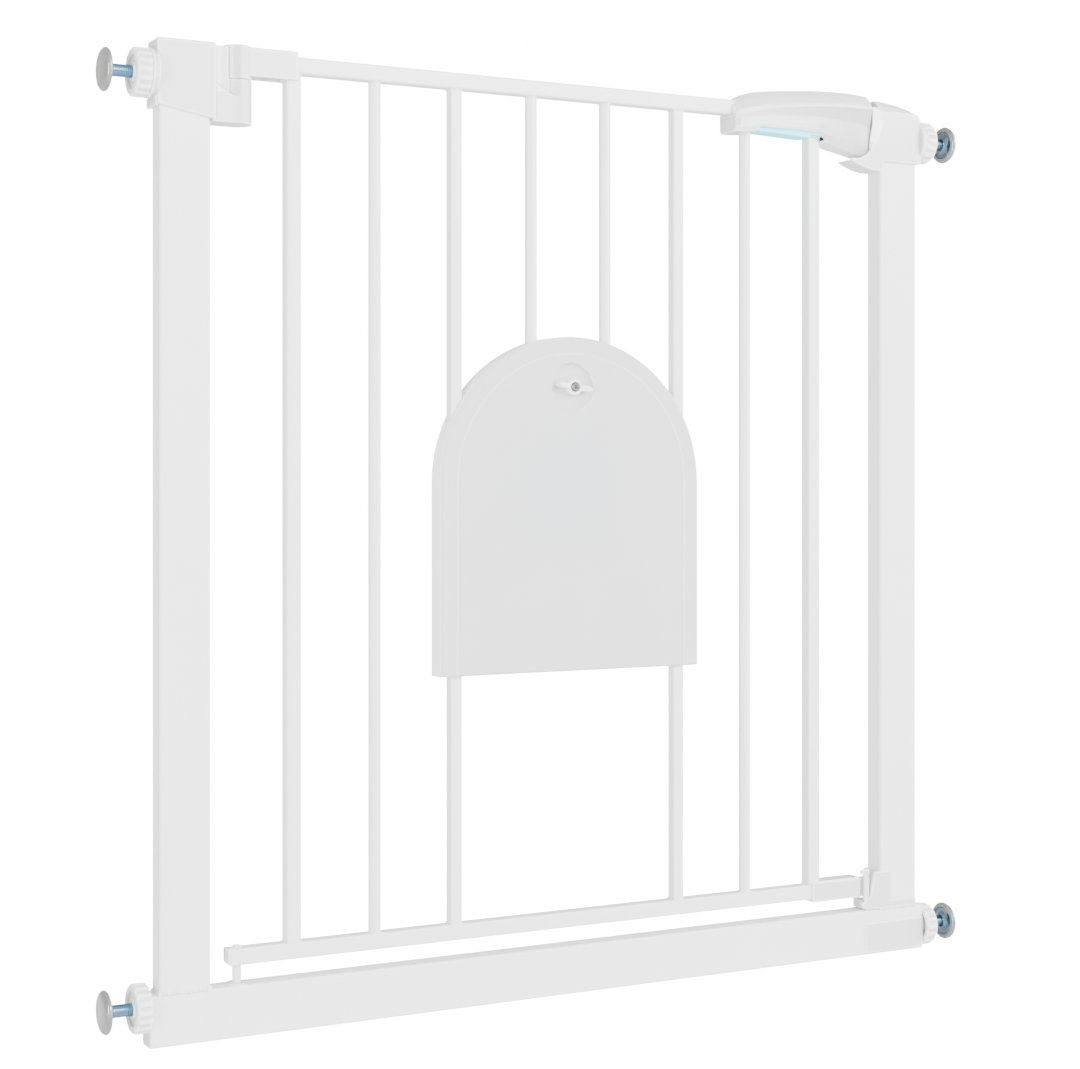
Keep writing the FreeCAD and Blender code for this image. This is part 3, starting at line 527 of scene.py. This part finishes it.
def axis_matrix(side, z):
    """Local +Z becomes +X or -X, at height z."""
    turn = Matrix.Rotation(math.radians(90.0 * side), 4, "Y")
    return Matrix.Translation((0.0, 0.0, z * MM)) @ turn


# Distance from the gate's middle and radius, in mm
PAD_PROFILE = [
    (397.5, 0.0), (397.5, 6.0), (397.35, 9.4), (396.9, 12.2), (396.15, 14.4), (395.1, 15.8),
    (394.0, 16.5), (393.1, 16.6), (392.2, 16.25), (391.5, 15.5), (391.05, 14.4), (390.9, 13.3),
    (391.15, 12.6), (392.0, 12.2), (393.3, 12.1), (393.3, 0.0),
]
PAD_STEPS = 96
THREAD_TO = 389.2
ROD_R = 4.95
FOOT_PROFILE = [
    (THREAD_TO, ROD_R), (390.0, 5.2), (390.9, 6.0), (391.7, 7.6), (392.1, 9.4), (392.0, 10.8),
    (391.7, 11.5), (391.9, 12.0), (392.9, 12.0), (393.0, 0.0),
]
FOOT_FROM = 390.2
THREAD_PITCH = 1.5
THREAD_DEPTH = 0.07
THREAD_FROM = 334.0
THREAD_RUN_OUT = 2.5
ROD_CHAMFER_LENGTH = 1.2
ROD_CHAMFER_DEPTH = 0.7
ROD_STEPS = 36


def make_pad(place, side, z):
    """Domed wall pad with the recess that holds the foot."""
    bm = lathe(PAD_PROFILE, PAD_STEPS)
    mesh = finish_bmesh(bm, "pad_" + place + "_turned", 60.0, axis_matrix(side, z))
    add_piece(mesh.name, mesh, ["pad_" + place], "spindle_" + place, "grey_rubber")


def make_rod(place, side, z):
    """Rolled thread with rounded crests, run out before the foot, and the pressed foot disc."""
    bm = lathe(FOOT_PROFILE, ROD_STEPS)
    count = int((THREAD_TO - THREAD_FROM) / (THREAD_PITCH / 8.0))
    low_ring = None
    for i in range(count + 1):
        a = THREAD_FROM + (THREAD_TO - THREAD_FROM) * i / count
        start = min(1.0, (a - THREAD_FROM) / ROD_CHAMFER_LENGTH)
        depth = THREAD_DEPTH * min(1.0, (THREAD_TO - a) / THREAD_RUN_OUT)
        ring = []
        for k in range(ROD_STEPS):
            angle = 2.0 * math.pi * k / ROD_STEPS
            wave = 0.5 + 0.5 * math.cos(2.0 * math.pi * a / THREAD_PITCH - angle)
            r = (ROD_R - ROD_CHAMFER_DEPTH * (1.0 - start) - depth * wave ** 1.6) * MM
            ring.append(bm.verts.new((r * math.cos(angle), r * math.sin(angle), a * MM)))
        if low_ring:
            for k in range(ROD_STEPS):
                n = (k + 1) % ROD_STEPS
                bm.faces.new((low_ring[k], ring[k], ring[n], low_ring[n]))
        else:
            bm.faces.new(list(reversed(ring)))
        low_ring = ring
    bmesh.ops.remove_doubles(bm, verts=bm.verts, dist=1e-6)
    mesh = finish_bmesh(bm, "rod_" + place + "_rolled", 70.0, axis_matrix(side, z))
    rod = add_piece(mesh.name, mesh, ["rod_" + place], "spindle_" + place, "zinc_rod")
    # The foot disc gets the painted-shade tone
    rod.data.materials.append(FOOT_SHADE_LOOK)
    for face in rod.data.polygons:
        if abs(face.center.x) > FOOT_FROM * MM:
            face.material_index = 1


# Side and height of each spindle
SPINDLES = {
    "top_left": (-1, 733.0),
    "top_right": (1, 733.0),
    "low_left": (-1, 29.5),
    "low_right": (1, 20.0),
}
for place, (side, z) in SPINDLES.items():
    make_pad(place, side, z)
    make_rod(place, side, z)


# ---------------------------------------------------------------- beads: panel line and welds
def sweep(bm, points, radii, sides, closed):
    """Round section of changing radius along a path, in mm."""
    count = len(points)
    rings = []
    for i, point in enumerate(points):
        before = points[i - 1] if closed or i else points[i]
        after = points[(i + 1) % count] if closed or i < count - 1 else points[i]
        along = (after - before).normalized()
        side = along.cross(Vector((0.0, 1.0, 0.0)))
        if side.length < 0.2:
            side = along.cross(Vector((0.0, 0.0, 1.0)))
        side.normalize()
        up = side.cross(along)
        ring = []
        for k in range(sides):
            angle = 2.0 * math.pi * k / sides
            offset = (side * math.cos(angle) + up * math.sin(angle)) * radii[i]
            ring.append(bm.verts.new((point + offset) * MM))
        rings.append(ring)
    spans = list(zip(rings, rings[1:]))
    if closed:
        spans.append((rings[-1], rings[0]))
    else:
        bm.faces.new(rings[0])
        bm.faces.new(list(reversed(rings[-1])))
    for low, high in spans:
        for k in range(sides):
            n = (k + 1) % sides
            bm.faces.new((low[k], high[k], high[n], low[n]))


PANEL_HALF = 121.3         # half width of the panel, and so the radius of its arch
PANEL_TOP = 544.7
PANEL_LOW = 268.3
BEAD_INSET = 14.4          # from the panel's outline to the raised line
BEAD_Y = -8.75             # centre of the bead, just under the face: only its crest stands out
BEAD_R = 1.75
LEG_STEPS = 20
ARCH_STEPS = 72


def make_panel_bead():
    """Raised line on the panel's front that follows its outline."""
    half = PANEL_HALF - BEAD_INSET
    centre = PANEL_TOP - PANEL_HALF
    rise = centre - PANEL_LOW
    points = []
    for i in range(LEG_STEPS):
        points.append(Vector((-half, BEAD_Y, PANEL_LOW + rise * i / LEG_STEPS)))
    for i in range(ARCH_STEPS + 1):
        angle = math.pi - math.pi * i / ARCH_STEPS
        points.append(Vector((half * math.cos(angle), BEAD_Y, centre + half * math.sin(angle))))
    for i in range(LEG_STEPS):
        points.append(Vector((half, BEAD_Y, centre - rise * (i + 1) / LEG_STEPS)))
    bm = bmesh.new()
    sweep(bm, points, [BEAD_R] * len(points), 20, False)
    mesh = finish_bmesh(bm, "panel_line", 70.0)
    line = add_piece("panel_line", mesh, [], "pet_panel", "panel_plastic")
    # The raised line gets the painted-highlight tone
    line.data.materials[0] = LINE_HIGHLIGHT_LOOK


# Line where the handle's two shells meet: x, height, half width
HANDLE_RIDGE = [
    (158.0, 742.0, 13.5), (162.0, 743.6, 15.0), (170.0, 745.6, 16.0), (178.0, 747.2, 16.2),
    (184.0, 748.2, 16.2), (200.0, 750.6, 16.4), (228.0, 754.0, 16.4), (246.0, 755.6, 16.1),
    (254.0, 756.2, 15.9), (271.0, 757.2, 15.4), (284.0, 757.4, 14.8), (296.0, 757.2, 14.2),
    (302.6, 757.0, 13.9),
]
RIDGE_INSET = 0.55         # the bead's centre lies this far inside the shells' face
RIDGE_SPLIT = 6            # points on each stretch of the line


def make_handle_ridge():
    """Rounded bead on the line where the handle's two shells meet, thinner at its ends."""
    bm = bmesh.new()
    for side in (-1, 1):
        points = []
        for (x0, z0, h0), (x1, z1, h1) in zip(HANDLE_RIDGE, HANDLE_RIDGE[1:]):
            for i in range(RIDGE_SPLIT):
                t = i / RIDGE_SPLIT
                out = h0 + (h1 - h0) * t - RIDGE_INSET
                points.append(Vector((x0 + (x1 - x0) * t, side * out, z0 + (z1 - z0) * t)))
        last = len(points) - 1
        radii = [min(1.0, 0.45 + 0.1 * min(i, last - i)) for i in range(last + 1)]
        sweep(bm, points, radii, 12, False)
    mesh = finish_bmesh(bm, "handle_ridge", 70.0)
    ridge = add_piece("handle_ridge", mesh, [], "door", "white_plastic")
    # The ridge bead gets the painted-highlight tone
    ridge.data.materials[0] = RIDGE_HIGHLIGHT_LOOK


WELD_STEP = 0.7            # between two points of a weld bead
WELD_RIPPLE = 2.9          # between two ripples of a weld bead
WELD_WANDER = 0.12


def weld_path(corners):
    """Points at even steps round a closed outline."""
    points = []
    for a, b in zip(corners, corners[1:] + corners[:1]):
        count = max(1, int((b - a).length / WELD_STEP))
        points += [a.lerp(b, i / count) for i in range(count)]
    return points


def weld(bm, corners, radius, seed):
    """Lumpy, rippled fillet bead round a closed outline."""
    rng = random.Random(seed)
    points = weld_path(corners)
    radii = []
    for i in range(len(points)):
        ripple = 0.72 + 0.28 * math.cos(2.0 * math.pi * i * WELD_STEP / WELD_RIPPLE)
        radii.append(radius * ripple * rng.uniform(0.78, 1.14))
    moved = []
    for point in points:
        shift = [rng.uniform(-WELD_WANDER, WELD_WANDER) for _ in range(3)]
        moved.append(point + Vector(shift))
    sweep(bm, moved, radii, 8, True)


def rectangle(x, half_x, half_y, z):
    """Level outline of a square or flat tube."""
    return [Vector((x - half_x, -half_y, z)), Vector((x + half_x, -half_y, z)),
            Vector((x + half_x, half_y, z)), Vector((x - half_x, half_y, z))]


def circle(x, radius, z, count=16):
    """Level outline of a round bar."""
    points = []
    for i in range(count):
        angle = 2 * math.pi * i / count
        points.append(Vector((x + radius * math.cos(angle), radius * math.sin(angle), z)))
    return points


POST_X = 334.0             # middle of the posts
POST_FOOT_Z = 40.2
BAR_PITCH = 70.0
LOW_JOINT_Z = 67.6         # where the bars meet the door's low rail and top rail
TOP_JOINT_Z = 741.9
SHORT_BARS = (4, 5)        # end on the cross bar behind the panel
COVERED_TOPS = (1, 7, 8)   # upper ends inside the hinge arm and the handle
END_BARS = (1, 8)
GUIDE_BARS = (3, 6)


def make_welds():
    """Beads where the posts stand on the rail, and at the ends of the bars that can be seen."""
    bm = bmesh.new()
    for side, seed in ((-1, 3), (1, 5)):
        weld(bm, rectangle(side * POST_X, 19.6, 9.3, POST_FOOT_Z), 2.3, seed)
    mesh = finish_bmesh(bm, "frame_welds", 80.0)
    add_piece("frame_welds", mesh, [], "frame", "frame_steel")
    bm = bmesh.new()
    for index in range(1, 9):
        x = (index - 4.5) * BAR_PITCH
        for z, bare in ((LOW_JOINT_Z, SHORT_BARS), (TOP_JOINT_Z, COVERED_TOPS)):
            if index in bare:
                continue
            if index in END_BARS + GUIDE_BARS:
                half = 6.0 if index in END_BARS else 5.0
                corners = rectangle(x, half - 0.1, half - 0.1, z)
            else:
                corners = circle(x, 4.95, z)
            weld(bm, corners, 1.0, 20 + index + int(z))
    mesh = finish_bmesh(bm, "door_welds", 80.0)
    add_piece("door_welds", mesh, [], "door", "door_steel")


make_panel_bead()
make_handle_ridge()
make_welds()


# ---------------------------------------------------------------- stage, light, camera
BACKDROP_GLOW = 21.0       # brightness of the backdrop; it lights nothing
FLOOR_GLOW = 18.5          # the same for the floor
FLOOR_SIZE = 14.0
FLOOR_Z = -0.0003
DOME_TOWARDS = (0.50, -0.86, 0.02)
DOME_POWER = 1.9
DOME_PEAK = 4.1
DOME_BASE = 1.22


def make_stage():
    """Plain pale floor just under the gate."""
    bpy.ops.mesh.primitive_plane_add(size=FLOOR_SIZE, location=(0, 0, FLOOR_Z))
    floor = bpy.context.object
    floor.name = "floor"
    mat, tree, bsdf = new_material("floor_look", (0.90, 0.90, 0.90), 0.85)
    glow = tree.nodes.new("ShaderNodeEmission")
    glow.inputs["Strength"].default_value = FLOOR_GLOW
    both = tree.nodes.new("ShaderNodeAddShader")
    tree.links.new(bsdf.outputs[0], both.inputs[0])
    tree.links.new(glow.outputs[0], both.inputs[1])
    path = tree.nodes.new("ShaderNodeLightPath")
    pick = tree.nodes.new("ShaderNodeMixShader")
    tree.links.new(path.outputs["Is Camera Ray"], pick.inputs[0])
    tree.links.new(bsdf.outputs[0], pick.inputs[1])
    tree.links.new(both.outputs[0], pick.inputs[2])
    tree.links.new(pick.outputs[0], tree.nodes["Material Output"].inputs["Surface"])
    floor.data.materials.append(mat)


def area_light(name, location, target, width, height, power):
    """Rectangular softbox that faces its target."""
    data = bpy.data.lights.new(name, "AREA")
    data.energy = power
    data.shape = "RECTANGLE"
    data.size = width
    data.size_y = height
    obj = bpy.data.objects.new(name, data)
    bpy.context.scene.collection.objects.link(obj)
    obj.location = location
    towards = Vector(target) - Vector(location)
    obj.rotation_euler = towards.to_track_quat("-Z", "Y").to_euler()


def make_world():
    """Soft studio dome: brightest in front and to the right, dimmer and cooler elsewhere."""
    world = bpy.data.worlds.new("world")
    bpy.context.scene.world = world
    world.use_nodes = True
    tree = world.node_tree
    dome = tree.nodes["Background"]
    tex = tree.nodes.new("ShaderNodeTexCoord")
    dot = tree.nodes.new("ShaderNodeVectorMath")
    dot.operation = "DOT_PRODUCT"
    tree.links.new(tex.outputs["Generated"], dot.inputs[0])
    dot.inputs[1].default_value = Vector(DOME_TOWARDS).normalized()
    lobe = map_range(tree, dot.outputs["Value"], 0.0, 1.0, 0.0, 1.0)
    lobe = math_node(tree, "POWER", lobe, DOME_POWER)
    strength = math_node(tree, "ADD", math_node(tree, "MULTIPLY", lobe, DOME_PEAK), DOME_BASE)
    tree.links.new(strength, dome.inputs["Strength"])
    tint = ramp(tree, lobe, [(0.0, (0.955, 0.965, 1.0)), (0.5, (1.0, 1.0, 1.0))])
    tree.links.new(tint, dome.inputs["Color"])
    backdrop = tree.nodes.new("ShaderNodeBackground")
    backdrop.inputs["Strength"].default_value = BACKDROP_GLOW
    path = tree.nodes.new("ShaderNodeLightPath")
    pick = tree.nodes.new("ShaderNodeMixShader")
    tree.links.new(path.outputs["Is Camera Ray"], pick.inputs[0])
    tree.links.new(dome.outputs[0], pick.inputs[1])
    tree.links.new(backdrop.outputs[0], pick.inputs[2])
    tree.links.new(pick.outputs[0], tree.nodes["World Output"].inputs["Surface"])


def make_lights():
    """One wide softbox in front and above, and a tall one on each side."""
    area_light("softbox_above", (1.15, -2.0, 1.5), (0, 0, 0.4), 1.6, 0.9, 82.0)
    area_light("softbox_left", (-1.9, -1.0, 0.45), (0, 0, 0.42), 0.40, 1.7, 74.0)
    area_light("softbox_right", (2.1, -0.85, 0.45), (0, 0, 0.42), 0.40, 1.7, 55.0)


def make_camera():
    """Level camera, turned towards the gate from the hinge side."""
    data = bpy.data.cameras.new("camera")
    data.lens = 70.0
    data.sensor_width = 36.0
    data.shift_y = -0.0581
    cam = bpy.data.objects.new("camera", data)
    bpy.context.scene.collection.objects.link(cam)
    cam.location = (-0.83664, -1.53624, 0.43280)
    cam.rotation_euler = (math.radians(90.0), 0.0, math.radians(-27.809))
    bpy.context.scene.camera = cam


make_stage()
make_world()
make_lights()
make_camera()
